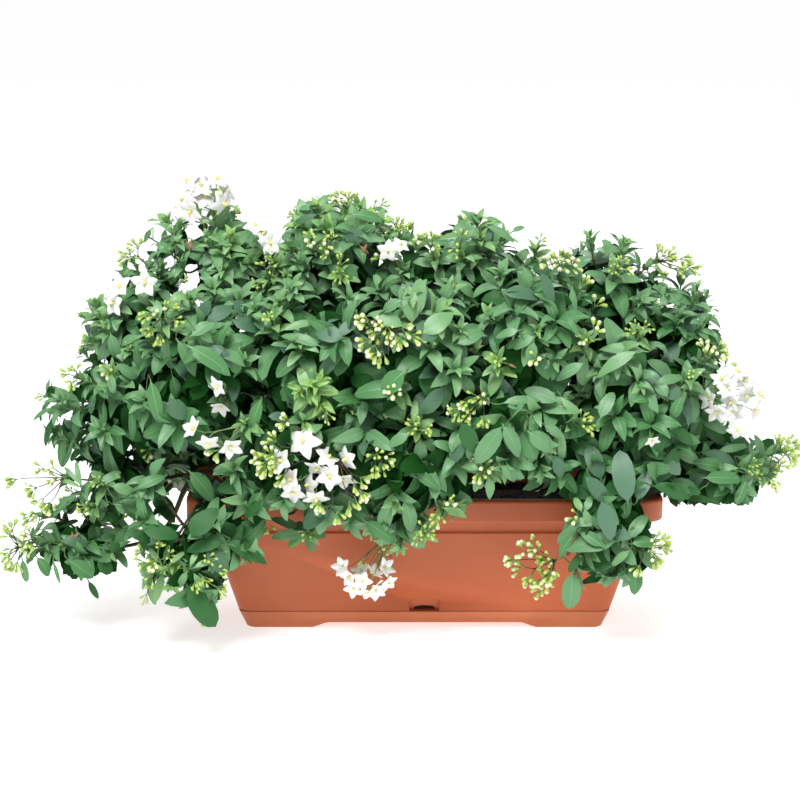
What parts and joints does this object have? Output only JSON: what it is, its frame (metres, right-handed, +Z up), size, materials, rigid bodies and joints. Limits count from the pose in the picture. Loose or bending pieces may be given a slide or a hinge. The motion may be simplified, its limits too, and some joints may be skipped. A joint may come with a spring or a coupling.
{
  "type": "potted potato vine",
  "caption": "Bushy white-flowered potato vine, spreading and trailing over the rim of a tapered window-box planter that stands in a drip tray.",
  "frame": {"origin": "on the ground, under the middle of the plant's spread and half way through its depth", "axes": "+X along the planter to the right as the picture shows it, +Y to the back, +Z up"},
  "size_m": [1.0103, 0.4359, 0.5645],
  "materials": {
    "planter_plastic": "terracotta-coloured, satin",
    "soil": "dark moist potting soil",
    "bark": "smooth green-brown stems",
    "foliage": "dark green leaves with a soft sheen"
  },
  "bodies": {
    "root": {"planter_trough": "planter_plastic", "drip_tray": "planter_plastic", "soil": "soil", "trunk": "bark", "bough_back_left": "bark", "bough_back_left_inner": "bark", "bough_back_low_centre": "bark", "bough_back_low_left": "bark", "bough_back_low_right": "bark", "bough_back_right": "bark", "bough_back_right_inner": "bark", "bough_front_centre": "bark", "bough_front_left": "bark", "bough_front_left_inner": "bark", "bough_front_low_centre": "bark", "bough_front_low_left": "bark", "bough_front_low_right": "bark", "bough_front_right_inner": "bark", "bough_left_cascade": "bark", "bough_left_low": "bark", "bough_left_mid": "bark", "bough_left_shoulder": "bark", "bough_left_tip": "bark", "bough_left_top": "bark", "bough_right_cascade": "bark", "bough_right_mid": "bark", "bough_right_shoulder": "bark", "bough_right_tip": "bark", "bough_right_top": "bark", "bough_top_left": "bark", "bough_top_right": "bark", "foliage_back_left": "foliage", "foliage_back_left_inner": "foliage", "foliage_back_low_centre": "foliage", "foliage_back_low_left": "foliage", "foliage_back_low_right": "foliage", "foliage_back_right": "foliage", "foliage_back_right_inner": "foliage", "foliage_front_centre": "foliage", "foliage_front_left": "foliage", "foliage_front_left_inner": "foliage", "foliage_front_low_centre": "foliage", "foliage_front_low_left": "foliage", "foliage_front_low_right": "foliage", "foliage_front_right_inner": "foliage", "foliage_left_cascade": "foliage", "foliage_left_low": "foliage", "foliage_left_mid": "foliage", "foliage_left_shoulder": "foliage", "foliage_left_tip": "foliage", "foliage_left_top": "foliage", "foliage_right_cascade": "foliage", "foliage_right_mid": "foliage", "foliage_right_shoulder": "foliage", "foliage_right_tip": "foliage", "foliage_right_top": "foliage", "foliage_top_left": "foliage", "foliage_top_right": "foliage"}
  },
  "joints": []
}
